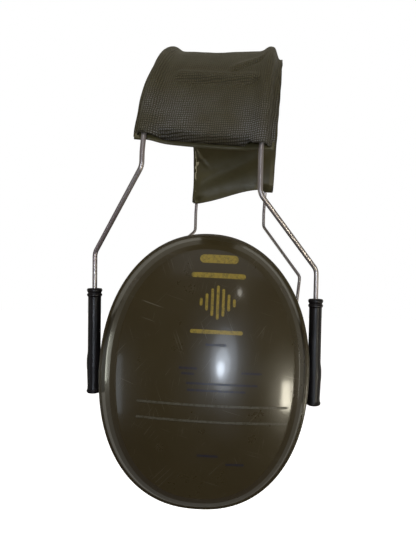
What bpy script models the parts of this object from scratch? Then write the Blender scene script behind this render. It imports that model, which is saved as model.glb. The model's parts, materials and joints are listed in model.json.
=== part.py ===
"""Hearing protection earmuffs: two oval cups on a sprung wire headband with a padded vinyl cover.

Units are metres, +Z is up. The origin is the underside of the crown of the headband, where it rests
on the head. Y runs from ear to ear and the wearer faces -X, so the left cup is on the -Y side, and
each side's front wire is the one at -X. Each side is built once and mirrored by the sign of Y.
"""

import math

import bmesh
import bpy
from mathutils import Matrix, Vector

MM = 0.001

# Driving dimensions
FIT_GAP = 0.3 * MM

WIRE_RADIUS = 1.0 * MM
WIRE_UPPER_X = 23.2 * MM
WIRE_LOWER_X = 47.1 * MM
ARCH_RADIUS = 67.3 * MM
ARCH_CENTRE_Z = -61.8 * MM
CROWN_SWAY = 3.6 * MM  # how far the crown leans to the rear of the cups
UPPER_BEND_Z = -72.5 * MM
LOWER_BEND_Y = 50.0 * MM
LOWER_BEND_Z = -103.0 * MM
BEND_RADIUS = 5.0 * MM
# The wires creep a little through the cover: the front one's left leg sits high, the rear one's low.
UPPER_CREEP = {"left": 5.1 * MM, "right": -1.8 * MM}
LOWER_CREEP = {"left": 2.8 * MM, "right": -3.1 * MM}
# The left cup's front tube has slid a little higher than its rear one, so that cup rolls with them.
TUBE_CREEP = {"left": 1.3 * MM, "right": 0.0}
# The right pair of lower legs is sprung a few degrees forwards, and its cup is set lower on them.
LEG_SWING = {"left": 0.0, "right": math.radians(6.0)}
TUBE_DROP = {"left": 0.0, "right": 10.0 * MM}

PAD_HALF_WIDTH = 28.5 * MM
PAD_END_ANGLE = math.radians(84.5)
PAD_THICKNESS = 7.6 * MM
PAD_FLANGE_HEIGHT = 1.1 * MM
LINING_THICKNESS = 0.7 * MM
FOAM_TOP = 4.0 * MM
SKIN_THICKNESS = 0.75 * MM

LEG_LEAN = math.radians(3.8)
TUBE_RADIUS = 2.65 * MM
TUBE_LENGTH = 44.8 * MM
TUBE_TOP_Z = -116.7 * MM
TUBE_BORE_RADIUS = 1.8 * MM
COLLAR_RADIUS = 3.15 * MM
COLLAR_BORE_RADIUS = 2.3 * MM
COLLAR_BEAD = 1.4 * MM
COLLAR_GROOVE = 0.45 * MM
COLLAR_DEPTH = 7.0 * MM
WIRE_IN_TUBE = 35.6 * MM
WIRE_FOOT_RADIUS = 1.5 * MM
WIRE_FOOT_LENGTH = 3.0 * MM

CUP_HALF_WIDTH = 43.8 * MM
CUP_HALF_HEIGHT = 56.8 * MM
CUP_FULLNESS_ABOVE = 2.11  # 2 would be an ellipse; the cup's lower half is a little squarer
CUP_FULLNESS_BELOW = 2.27
CUP_CENTRE_Z = -148.4 * MM
CUP_RIM_Y = 51.0 * MM
CUP_SHIFT_X = {"left": 0.8 * MM, "right": 0.0}  # end play on the pivot pins
CUP_DEPTH = 22.0 * MM
SHELL_WALL = 2.2 * MM

PIN_RADIUS = 1.0 * MM
PIN_SOCKET_RADIUS = 1.35 * MM
PIN_REACH = 4.1 * MM
BOSS_RADIUS = 1.9 * MM

RING_SEGMENTS = 28
TUBE_SEGMENTS = 12
ARCH_STEPS = 9
FACE_SHARES = (0.84, 0.58, 0.28)
SHARP_ANGLE = math.radians(35)

# Worked out from them
SIDES = {"left": -1.0, "right": 1.0}
WIRES = {"front": -1.0, "rear": 1.0}
LEG_DROP = LOWER_BEND_Z - CUP_CENTRE_Z
CROWN_GAP_ANGLE = math.asin(FIT_GAP / 2 / -ARCH_CENTRE_Z)
PIVOT_Y = LOWER_BEND_Y - LEG_DROP * math.tan(LEG_LEAN)
TUBE_TOP_ABOVE_PIVOT = (TUBE_TOP_Z - CUP_CENTRE_Z) / math.cos(LEG_LEAN)


def clear_scene():
    for old in list(bpy.data.objects):
        bpy.data.objects.remove(old, do_unlink=True)


def material(name, colour, roughness, metallic=0.0):
    made = bpy.data.materials.new(name)
    made.use_nodes = True
    shader = made.node_tree.nodes["Principled BSDF"]
    shader.inputs["Base Color"].default_value = (*colour, 1.0)
    shader.inputs["Roughness"].default_value = roughness
    shader.inputs["Metallic"].default_value = metallic
    return made


def add_object(name, mesh, finish, origin):
    """One node: its mesh is given in world space, and its origin is put at the given point."""
    mesh.transform(Matrix.Translation(-origin))
    made = bpy.data.objects.new(name, mesh)
    made.location = origin
    bpy.context.scene.collection.objects.link(made)
    mesh.materials.append(finish)
    return made


def finish_mesh(bm, name):
    bmesh.ops.remove_doubles(bm, verts=bm.verts, dist=0.001 * MM)
    bmesh.ops.recalc_face_normals(bm, faces=bm.faces)
    mesh = bpy.data.meshes.new(name)
    bm.to_mesh(mesh)
    bm.free()
    mesh.shade_smooth()
    mesh.set_sharp_from_angle(angle=SHARP_ANGLE)
    return mesh


def swing(side):
    """Turns a side's legs, with the tubes and the cup on them, about the height of the lower bends."""
    at_bends = Matrix.Translation((0.0, 0.0, LOWER_BEND_Z))
    return at_bends @ Matrix.Rotation(LEG_SWING[side], 4, "Y") @ at_bends.inverted()


def below_bends(side, drop):
    """From a side's unswung place to its real one: down its leaning legs, then swung with them."""
    down = Vector((0.0, -SIDES[side] * drop * math.tan(LEG_LEAN), -drop))
    return swing(side) @ Matrix.Translation(down)


def tube_place(side, wire):
    """Where the leg's axis passes the pin on that side: the creep slides each tube along its leg."""
    slide = -WIRES[wire] * TUBE_CREEP[side]
    y = SIDES[side] * (PIVOT_Y + slide * math.tan(LEG_LEAN))
    return Vector((WIRES[wire] * WIRE_LOWER_X, y, CUP_CENTRE_Z + slide))


def cup_roll(side):
    """The roll of a cup about Y that keeps its two pins in line with its two tubes."""
    return Matrix.Rotation(math.atan(TUBE_CREEP[side] / WIRE_LOWER_X), 4, "Y")


# Sub-parts that follow the oval outline of a cup

def oval_loop(bm, half_width, half_height, depth):
    """An oval loop of corners in the cup's own frame, where z runs outwards from the rim plane."""
    corners = []
    for step in range(RING_SEGMENTS):
        across, up = math.cos(math.tau * step / RING_SEGMENTS), math.sin(math.tau * step / RING_SEGMENTS)
        fullness = CUP_FULLNESS_ABOVE if up > 0 else CUP_FULLNESS_BELOW
        reach = (abs(across) ** fullness + abs(up) ** fullness) ** (-1 / fullness)
        corners.append(bm.verts.new((half_width * across * reach, half_height * up * reach, depth)))
    return corners


def inset_loop(bm, inset, depth):
    half_width = CUP_HALF_WIDTH - inset * MM
    half_height = CUP_HALF_HEIGHT - inset * MM
    return oval_loop(bm, half_width, half_height, depth * MM)


def bridge(bm, first, second):
    """Joins two loops with the same number of corners by a band of four-sided faces."""
    for step in range(len(first)):
        bm.faces.new((first[step - 1], first[step], second[step], second[step - 1]))


def cup_to_world(side):
    """Turns the cup's own frame to the side's place: x stays, y is up, z points out from the head."""
    outwards = SIDES[side]
    turn = Matrix(((1, 0, 0), (0, 0, outwards), (0, 1, 0))).to_4x4()
    seat = Matrix.Translation((CUP_SHIFT_X[side], outwards * CUP_RIM_Y, CUP_CENTRE_Z))
    return below_bends(side, TUBE_DROP[side]) @ seat @ cup_roll(side) @ turn


def oval_ring(name, side, outline):
    """A closed ring whose section is the outline, as (inset, depth) points in millimetres."""
    bm = bmesh.new()
    loops = [inset_loop(bm, inset, depth) for inset, depth in outline]
    for first, second in zip(loops, loops[1:] + loops[:1]):
        bridge(bm, first, second)
    bmesh.ops.transform(bm, matrix=cup_to_world(side), verts=bm.verts)
    return finish_mesh(bm, name)


def face_loops(bm, edge_inset, edge_depth, crown_depth):
    """The loops of a gently domed oval face, from its edge to a small loop at its middle."""
    loops = []
    for share in FACE_SHARES:
        half_width = (CUP_HALF_WIDTH - edge_inset * MM) * share
        half_height = (CUP_HALF_HEIGHT - edge_inset * MM) * share
        depth = edge_depth + (crown_depth - edge_depth) * (1.0 - share**2)
        loops.append(oval_loop(bm, half_width, half_height, depth * MM))
    return loops


def oval_dome(name, side, outer, inner, outer_crown, inner_crown):
    """A domed shell: outer and inner are its walls, as (inset, depth) points from the rim inwards."""
    bm = bmesh.new()
    outer_loops = [inset_loop(bm, *point) for point in outer] + face_loops(bm, *outer[-1], outer_crown)
    inner_loops = [inset_loop(bm, *point) for point in inner] + face_loops(bm, *inner[-1], inner_crown)
    for wall in (outer_loops, inner_loops):
        for first, second in zip(wall, wall[1:]):
            bridge(bm, first, second)
        bm.faces.new(wall[-1])
    bridge(bm, outer_loops[0], inner_loops[0])
    bmesh.ops.triangulate(bm, faces=[face for face in bm.faces if len(face.verts) > 4])
    bmesh.ops.transform(bm, matrix=cup_to_world(side), verts=bm.verts)
    return finish_mesh(bm, name)


def oval_slab(name, side, outer, outer_crown):
    """A solid with a flat side towards the head and a domed back, whose rim starts the outline."""
    bm = bmesh.new()
    loops = [inset_loop(bm, *point) for point in outer] + face_loops(bm, *outer[-1], outer_crown)
    for first, second in zip(loops, loops[1:]):
        bridge(bm, first, second)
    bm.faces.new(loops[0])
    bm.faces.new(loops[-1])
    bmesh.ops.transform(bm, matrix=cup_to_world(side), verts=bm.verts)
    return finish_mesh(bm, name)


# Sub-parts that follow a guide tube

def turned(name, profile, segments=TUBE_SEGMENTS):
    """A body turned round its own z axis from a closed profile of (radius, height) points."""
    bm = bmesh.new()
    verts = [bm.verts.new((radius, 0.0, height)) for radius, height in profile]
    edges = [bm.edges.new((a, b)) for a, b in zip(verts, verts[1:] + verts[:1])]
    profile_line = verts + edges
    about_z = {"axis": (0, 0, 1), "cent": (0, 0, 0), "angle": math.tau}
    bmesh.ops.spin(bm, geom=profile_line, steps=segments, use_merge=True, **about_z)
    return finish_mesh(bm, name)


def tube_to_world(side, wire):
    """Puts a body turned about z, with z = 0 at the pivot's height, onto its leaning leg."""
    on_leg = Matrix.Translation(tube_place(side, wire)) @ Matrix.Rotation(-SIDES[side] * LEG_LEAN, 4, "X")
    return below_bends(side, TUBE_DROP[side]) @ on_leg


def on_pins(radius, start, end, side, wire):
    """A closed cylinder on the pivot axis between two distances from the middle of the tubes."""
    bm = bmesh.new()
    lay_down = Matrix.Rotation(math.pi / 2, 4, "Y")
    slide_out = Matrix.Translation((WIRES[wire] * (start + end) / 2, 0.0, 0.0))
    middle = Matrix.Translation((0.0, SIDES[side] * PIVOT_Y, CUP_CENTRE_Z))
    place = below_bends(side, TUBE_DROP[side]) @ middle @ cup_roll(side) @ slide_out @ lay_down
    size = {"radius1": radius, "radius2": radius, "depth": abs(end - start)}
    bmesh.ops.create_cone(bm, cap_ends=True, segments=TUBE_SEGMENTS, matrix=place, **size)
    return bm


def cut_or_join(target, tool_bm, operation):
    """Applies one Boolean at once, so that the finished node stands on its own."""
    tool = bpy.data.objects.new(target.name + "_tool", finish_mesh(tool_bm, "tool"))
    bpy.context.scene.collection.objects.link(tool)
    step = target.modifiers.new(operation.title(), "BOOLEAN")
    step.operation = operation
    step.solver = "EXACT"
    step.object = tool
    bpy.context.view_layer.update()
    done = bpy.data.meshes.new_from_object(target.evaluated_get(bpy.context.evaluated_depsgraph_get()))
    target.modifiers.remove(step)
    target.data = done
    bpy.data.objects.remove(tool, do_unlink=True)
    done.shade_smooth()
    done.set_sharp_from_angle(angle=SHARP_ANGLE)


def pivot_origin(side):
    return below_bends(side, TUBE_DROP[side]) @ Vector((0.0, SIDES[side] * PIVOT_Y, CUP_CENTRE_Z))


# The headband

def rounded_path(corners, radius, steps):
    """The points of a path whose inner corners are turned into arcs of the given radius."""
    points = [corners[0]]
    for before, corner, after in zip(corners, corners[1:], corners[2:]):
        back = (before - corner).normalized()
        onward = (after - corner).normalized()
        half_angle = back.angle(onward) / 2
        centre = corner + (back + onward).normalized() * (radius / math.sin(half_angle))
        start = corner + back * (radius / math.tan(half_angle)) - centre
        end = corner + onward * (radius / math.tan(half_angle)) - centre
        axis = start.cross(end).normalized()
        sweep = start.angle(end)
        for step in range(steps + 1):
            points.append(centre + Matrix.Rotation(sweep * step / steps, 3, axis) @ start)
    points.append(corners[-1])
    return points


def leg_point(side, wire, z):
    """A point on the straight lower leg that the guide tube slides along."""
    y = LOWER_BEND_Y + (z - LOWER_BEND_Z) * math.tan(LEG_LEAN)
    return swing(side) @ Vector((WIRES[wire] * WIRE_LOWER_X, SIDES[side] * y, z))


def arch_angles():
    """The angles from the crown that the wires and the cover share, so that their facets lie parallel."""
    return [CROWN_GAP_ANGLE + PAD_END_ANGLE * step / ARCH_STEPS for step in range(ARCH_STEPS + 1)]


def sway(rise, radius):
    """The lean to the rear of a point that high above the arch's centre."""
    return CROWN_SWAY * rise / radius


def wire_path(side, wire):
    """From the crown over the arch, out along the slanted stretch, and down into the guide tube."""
    x = WIRES[wire] * WIRE_UPPER_X
    upper_z = UPPER_BEND_Z - WIRES[wire] * UPPER_CREEP[side]
    lower_z = LOWER_BEND_Z - WIRES[wire] * LOWER_CREEP[side]
    arch = []
    for angle in arch_angles() + [math.pi / 2]:
        y = SIDES[side] * ARCH_RADIUS * math.sin(angle)
        rise = ARCH_RADIUS * math.cos(angle)
        arch.append(Vector((x + sway(rise, ARCH_RADIUS), y, ARCH_CENTRE_Z + rise)))
    upper_bend = Vector((x, SIDES[side] * ARCH_RADIUS, upper_z))
    foot_z = TUBE_TOP_Z - WIRE_IN_TUBE
    corners = [arch[-1], upper_bend, leg_point(side, wire, lower_z), leg_point(side, wire, foot_z)]
    return arch[:-1] + rounded_path(corners, BEND_RADIUS, 3)


def add_wire(side, wire, steel):
    """Half of one headband wire, with the upset foot that keeps it in its guide tube."""
    name = f"{side}_{wire}_wire"
    points = wire_path(side, wire)
    down = (points[-1] - points[-2]).normalized()
    shoulder = points[-1] - down * WIRE_FOOT_LENGTH
    upset = WIRE_FOOT_RADIUS / WIRE_RADIUS
    neck = shoulder - down * (WIRE_FOOT_RADIUS - WIRE_RADIUS)
    foot = [(neck, 1.0), (shoulder, upset), (points[-1], upset)]
    route = [(point, 1.0) for point in points[:-1]] + foot
    curve = bpy.data.curves.new(name, "CURVE")
    curve.dimensions = "3D"
    curve.bevel_depth = WIRE_RADIUS
    curve.bevel_resolution = 2
    curve.use_fill_caps = True
    spline = curve.splines.new("POLY")
    spline.points.add(len(route) - 1)
    for spot, (point, share) in zip(spline.points, route):
        spot.co = (*point, 1.0)
        spot.radius = share
    curve.materials.append(steel)
    made = bpy.data.objects.new(name, curve)
    bpy.context.scene.collection.objects.link(made)


def arched(name, side, section):
    """A closed section of (x, height above the crown's underside), spun down the side's half arch."""
    bm = bmesh.new()
    inner_radius = -ARCH_CENTRE_Z
    corners = [Vector((x * MM, 0.0, ARCH_CENTRE_Z + inner_radius + height * MM)) for x, height in section]
    face = bm.faces.new([bm.verts.new(corner) for corner in corners])
    turn = -SIDES[side]
    start = Matrix.Rotation(turn * CROWN_GAP_ANGLE, 3, "X")
    centre = Vector((0.0, 0.0, ARCH_CENTRE_Z))
    bmesh.ops.rotate(bm, verts=face.verts, cent=centre, matrix=start)
    region = list(face.verts) + list(face.edges) + [face]
    about_x = {"axis": (1, 0, 0), "cent": centre, "angle": turn * PAD_END_ANGLE}
    bmesh.ops.spin(bm, geom=region, steps=ARCH_STEPS, use_duplicate=False, **about_x)
    for vert in bm.verts:
        rise = vert.co.z - ARCH_CENTRE_Z
        vert.co.x += sway(rise, math.hypot(vert.co.y, rise))
    return finish_mesh(bm, name)


def cover_sections():
    """The sections of skin, lining and foam, in millimetres: the skin bulges over each wire."""
    edge = PAD_HALF_WIDTH / MM
    wire_x = WIRE_UPPER_X / MM
    top = PAD_THICKNESS / MM
    thick = SKIN_THICKNESS / MM
    flange = PAD_FLANGE_HEIGHT / MM
    ridge = [(edge, flange + thick), (wire_x + 3.2, flange + thick + 0.4), (wire_x + 2.1, top - 2.4)]
    ridge += [(wire_x + 1.6, top - thick), (wire_x, top), (wire_x - 1.6, top - thick)]
    ridge += [(wire_x - 3.4, top - 2.2), (wire_x / 3, top - 2.5)]
    outer = ridge + [(-x, height) for x, height in reversed(ridge)]
    under = [(edge, flange), (wire_x + 2.5, flange + 0.3), (wire_x + 1.35, top - 2.8)]
    under += [(wire_x + 1.1, top - 1.3), (wire_x, top - thick), (wire_x - 1.1, top - 1.3)]
    under += [(wire_x - 2.9, top - 2.9), (wire_x / 3, top - 2.5 - thick)]
    skin = outer + [(-x, height) for x, height in under] + under[::-1]
    lining_top = LINING_THICKNESS / MM
    lining = [(edge, 0.0), (edge, lining_top), (-edge, lining_top), (-edge, 0.0)]
    foam_edge = wire_x + 1.8
    foam_top = FOAM_TOP / MM
    foam = [(foam_edge, flange), (foam_edge - 0.5, foam_top)]
    foam += [(-x, height) for x, height in reversed(foam)]
    return {"cover_skin": skin, "cover_lining": lining, "pad_foam": foam}


def add_headband(side, finishes):
    hinge = Vector((0.0, 0.0, PAD_THICKNESS))
    for part, section in cover_sections().items():
        add_object(f"{side}_{part}", arched(part, side, section), finishes[part], hinge)
    for wire in WIRES:
        add_wire(side, wire, finishes["steel"])


# The guide tubes

def tube_profile():
    """Outside from the top down, past the two collar beads, then back up the bore."""
    top = TUBE_TOP_ABOVE_PIVOT
    bottom = top - TUBE_LENGTH
    bead = COLLAR_BEAD
    neck = COLLAR_RADIUS - COLLAR_GROOVE
    outside = [(COLLAR_BORE_RADIUS, top), (neck, top), (COLLAR_RADIUS, top - 0.5 * bead)]
    outside += [(COLLAR_RADIUS, top - bead), (neck, top - 1.35 * bead), (COLLAR_RADIUS, top - 1.7 * bead)]
    outside += [(COLLAR_RADIUS, top - 2.1 * bead), (TUBE_RADIUS, top - 2.5 * bead)]
    outside += [(TUBE_RADIUS, bottom + bead), (neck + 0.2 * bead, bottom + 0.4 * bead), (TUBE_RADIUS, bottom)]
    inside = [(TUBE_BORE_RADIUS, bottom), (TUBE_BORE_RADIUS, top - COLLAR_DEPTH)]
    inside += [(COLLAR_BORE_RADIUS, top - COLLAR_DEPTH)]
    return outside + inside


def bush_profile():
    """The bush sits in the collar's counterbore and grips the wire."""
    top = TUBE_TOP_ABOVE_PIVOT - FIT_GAP
    bottom = top - COLLAR_DEPTH + 2 * FIT_GAP
    bore = WIRE_RADIUS + FIT_GAP
    outer = COLLAR_BORE_RADIUS - FIT_GAP
    return [(bore, top), (outer, top), (outer, bottom), (bore, bottom)]


def add_guides(side, finishes):
    origin = pivot_origin(side)
    pin_outer = WIRE_LOWER_X - TUBE_RADIUS
    for wire in WIRES:
        cup_flank = CUP_HALF_WIDTH + WIRES[wire] * CUP_SHIFT_X[side]
        boss_inner = cup_flank - FIT_GAP
        place = tube_to_world(side, wire)
        mesh = turned("guide_tube", tube_profile())
        mesh.transform(place)
        tube = add_object(f"{side}_{wire}_guide_tube", mesh, finishes["tube"], origin)
        boss = on_pins(BOSS_RADIUS, boss_inner, pin_outer + 2 * FIT_GAP, side, wire)
        cut_or_join(tube, boss, "UNION")
        socket = on_pins(PIN_SOCKET_RADIUS, boss_inner - BOSS_RADIUS, pin_outer + FIT_GAP, side, wire)
        cut_or_join(tube, socket, "DIFFERENCE")
        mesh = turned("friction_bush", bush_profile())
        mesh.transform(place)
        add_object(f"{side}_{wire}_friction_bush", mesh, finishes["bush"], origin)
        pin = finish_mesh(on_pins(PIN_RADIUS, cup_flank - PIN_REACH, pin_outer, side, wire), "pivot_pin")
        add_object(f"{side}_{wire}_pivot_pin", pin, finishes["pin"], origin)


# The cups

def add_cup(side, finishes):
    origin = pivot_origin(side)
    outer_wall = [(0.6, 0.0), (0.0, 0.5), (0.0, 1.2), (0.9, 1.9), (3.9, 8.0), (6.4, 12.2), (9.8, 14.8)]
    outer_lining = [(2.8, 0.0), (6.0, 7.4), (8.4, 11.0), (11.2, 12.8)]
    crown = CUP_DEPTH / MM
    wall = SHELL_WALL / MM
    shell = oval_dome("outer_shell", side, outer_wall, outer_lining, crown, crown - wall)
    add_object(f"{side}_outer_shell", shell, finishes["outer_shell"], origin)

    inner_wall = [(0.9, -8.6), (0.9, -2.4), (0.2, -2.2), (0.2, -1.6), (6.0, -1.6), (8.4, 4.5), (13.5, 9.0)]
    inner_lining = [(3.6, -8.6), (3.6, -3.6), (8.0, -3.6), (8.2, -1.0), (10.4, 3.9), (15.0, 7.2)]
    shell = oval_dome("inner_shell", side, inner_wall, inner_lining, 14.0, 12.2)
    inner = add_object(f"{side}_inner_shell", shell, finishes["inner_shell"], origin)
    for wire in WIRES:
        cup_flank = CUP_HALF_WIDTH + WIRES[wire] * CUP_SHIFT_X[side]
        bore = on_pins(PIN_SOCKET_RADIUS, cup_flank - 1.5 * PIN_REACH, cup_flank + MM, side, wire)
        cut_or_join(inner, bore, "DIFFERENCE")

    rings = {
        "shell_seal": [(0.9, -1.3), (0.9, -0.3), (3.6, -0.3), (3.6, -1.3)],
        "cushion_plate": [(1.3, -10.3), (1.3, -8.9), (4.0, -8.9), (4.0, -6.2), (5.4, -6.2), (5.4, -8.9)]
        + [(17.0, -8.9), (17.0, -10.3)],
        "ear_cushion": [(3.4, -10.6), (1.2, -13.4), (0.8, -18.0), (2.6, -22.6), (6.8, -25.0), (15.4, -25.0)]
        + [(18.8, -22.8), (20.0, -18.0), (18.8, -13.0), (16.6, -10.6)],
    }
    for part, outline in rings.items():
        add_object(f"{side}_{part}", oval_ring(part, side, outline), finishes[part], origin)

    liner_back = [(9.4, 0.9), (10.9, 3.6), (15.6, 6.6)]
    liner = oval_slab("foam_liner", side, liner_back, 11.6)
    add_object(f"{side}_foam_liner", liner, finishes["foam_liner"], origin)


def main():
    clear_scene()
    finishes = {
        "steel": material("stainless_wire", (0.62, 0.60, 0.57), 0.22, 1.0),
        "cover_skin": material("embossed_vinyl", (0.085, 0.078, 0.040), 0.45),
        "cover_lining": material("smooth_vinyl", (0.070, 0.062, 0.032), 0.38),
        "pad_foam": material("band_foam", (0.62, 0.56, 0.36), 0.95),
        "tube": material("black_guide_plastic", (0.011, 0.011, 0.012), 0.45),
        "bush": material("friction_nylon", (0.020, 0.020, 0.021), 0.55),
        "pin": material("pivot_nylon", (0.015, 0.015, 0.016), 0.40),
        "outer_shell": material("olive_gloss_plastic", (0.047, 0.036, 0.015), 0.16),
        "inner_shell": material("black_case_plastic", (0.012, 0.012, 0.012), 0.40),
        "shell_seal": material("seal_rubber", (0.010, 0.010, 0.010), 0.75),
        "foam_liner": material("absorber_foam", (0.030, 0.030, 0.031), 0.98),
        "cushion_plate": material("cushion_plate_plastic", (0.014, 0.014, 0.014), 0.45),
        "ear_cushion": material("cushion_vinyl", (0.016, 0.016, 0.017), 0.42),
    }
    for side in SIDES:
        add_headband(side, finishes)
        add_guides(side, finishes)
        add_cup(side, finishes)


main()
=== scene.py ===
"""The looks of a pair of headband earmuffs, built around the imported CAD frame.

Every length is in metres. Left is -Y, the side that faces the camera; the wearer faces -X. The
origin is the padded underside of the crown. Each side is made once and mirrored by the sign of Y.
"""

import json
import math

import bmesh
import bpy
from mathutils import Matrix, Vector, noise


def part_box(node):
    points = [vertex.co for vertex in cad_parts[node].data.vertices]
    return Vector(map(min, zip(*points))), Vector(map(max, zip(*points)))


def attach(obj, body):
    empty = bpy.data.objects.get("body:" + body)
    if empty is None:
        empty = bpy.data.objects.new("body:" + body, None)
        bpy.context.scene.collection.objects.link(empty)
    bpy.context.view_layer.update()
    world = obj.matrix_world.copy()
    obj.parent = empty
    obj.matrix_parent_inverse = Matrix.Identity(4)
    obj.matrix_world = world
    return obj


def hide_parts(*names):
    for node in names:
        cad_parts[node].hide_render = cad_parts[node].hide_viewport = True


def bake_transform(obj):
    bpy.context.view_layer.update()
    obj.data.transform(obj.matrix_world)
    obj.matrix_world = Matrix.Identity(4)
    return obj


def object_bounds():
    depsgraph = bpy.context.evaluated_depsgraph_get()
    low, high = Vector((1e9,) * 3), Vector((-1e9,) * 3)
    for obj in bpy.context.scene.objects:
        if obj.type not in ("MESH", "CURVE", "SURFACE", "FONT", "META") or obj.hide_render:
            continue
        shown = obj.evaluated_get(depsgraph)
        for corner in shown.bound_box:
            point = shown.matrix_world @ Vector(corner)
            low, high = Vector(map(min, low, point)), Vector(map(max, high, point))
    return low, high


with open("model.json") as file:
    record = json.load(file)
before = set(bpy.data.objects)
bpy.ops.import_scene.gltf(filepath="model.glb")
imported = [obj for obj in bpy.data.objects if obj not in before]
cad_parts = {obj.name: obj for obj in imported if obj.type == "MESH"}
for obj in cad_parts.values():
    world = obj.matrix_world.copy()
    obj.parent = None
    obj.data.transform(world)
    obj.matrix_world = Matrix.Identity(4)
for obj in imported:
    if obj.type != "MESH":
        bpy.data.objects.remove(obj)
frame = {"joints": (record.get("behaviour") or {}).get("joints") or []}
CAD_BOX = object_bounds()

MM = 0.001
SIDES = {"left": -1.0, "right": 1.0}
WIRES = {"front": -1.0, "rear": 1.0}

# ---------------------------------------------------------------- places, read from the frame

JOINTS = {joint["name"]: joint for joint in frame["joints"]}
SHELL_LOW, SHELL_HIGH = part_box("left_outer_shell")
CUP_HALF_WIDTH = 43.8 * MM
CUP_HALF_HEIGHT = 56.8 * MM
CUP_CENTRE_Z = JOINTS["left_cup_tilt"]["pos_m"][2]
CUP_RIM_Y = -SHELL_HIGH.y
CUP_DEPTH = SHELL_HIGH.y - SHELL_LOW.y
CUP_SHIFT_X = {"left": 0.8 * MM, "right": 0.0}
CUP_FULLNESS_ABOVE = 2.11  # the exponents of the oval above and below its middle: 2 is an ellipse
CUP_FULLNESS_BELOW = 2.27
FACE_INSET = 9.4 * MM
FACE_EDGE_DEPTH = 14.8 * MM
FACE_SKEW = (0.17, 0.10)  # how far the face lies to the rear and up, for each unit of depth beyond the bead
RIM_BEAD = 1.8 * MM

PIVOT_Y = -JOINTS["left_cup_tilt"]["pos_m"][1]
TUBE_CREEP = {"left": 1.3 * MM, "right": 0.0}
LEG_SWING = {"left": 0.0, "right": math.radians(6.0)}
TUBE_DROP = {"left": 0.0, "right": 10.0 * MM}
PIN_REACH = 4.1 * MM
TUBE_RADIUS = 2.65 * MM
LEG_LEAN = math.atan2(-JOINTS["left_cup_height"]["axis"][1], JOINTS["left_cup_height"]["axis"][2])

WIRE_RADIUS = 1.0 * MM
WIRE_UPPER_X = 23.2 * MM
WIRE_LOWER_X = 47.1 * MM
ARCH_RADIUS = 67.3 * MM
ARCH_CENTRE = Vector((0.0, 0.0, -61.8 * MM))
CROWN_SWAY = 3.6 * MM
UPPER_BEND_Z = -72.5 * MM
LOWER_BEND_Z = -103.0 * MM
LOWER_BEND_Y = 50.0 * MM
BEND_RADIUS = 5.0 * MM
UPPER_CREEP = {"left": 5.1 * MM, "right": -1.8 * MM}
LOWER_CREEP = {"left": 2.8 * MM, "right": -3.1 * MM}
WIRE_FOOT_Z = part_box("left_front_wire")[0].z

TUBE_TOP_Z = -116.7 * MM
TUBE_LENGTH = 44.8 * MM
COLLAR_BORE_RADIUS = 2.3 * MM
TUBE_BORE_RADIUS = 1.8 * MM

COVER_HALF_WIDTH = 28.5  # the cover's own shaping is in millimetres and degrees from the crown
RIDGE_AT = 23.2
WELT_AT = -59.0

STUFFING_GRID = 4.0 * MM
STUFFING_PRESSURE = 4.0
STUFFING_STEPS = 20
SPARE_CLOTH = 0.06
CUSHION_SEAM_DEPTH = -12.4 * MM
CUSHION_MOST_SWELL = 2.2 * MM

CAMERA_PLACE = (26.76, -242.95, -116.2)
CAMERA_TURN = (2.21, 2.05, 1.2)  # yaw, pitch and roll, in degrees
CAMERA_LENS = 29.82
CAMERA_SHIFT = -0.0758
FLOOR_DROP = 320 * MM


# ---------------------------------------------------------------- material building

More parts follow.
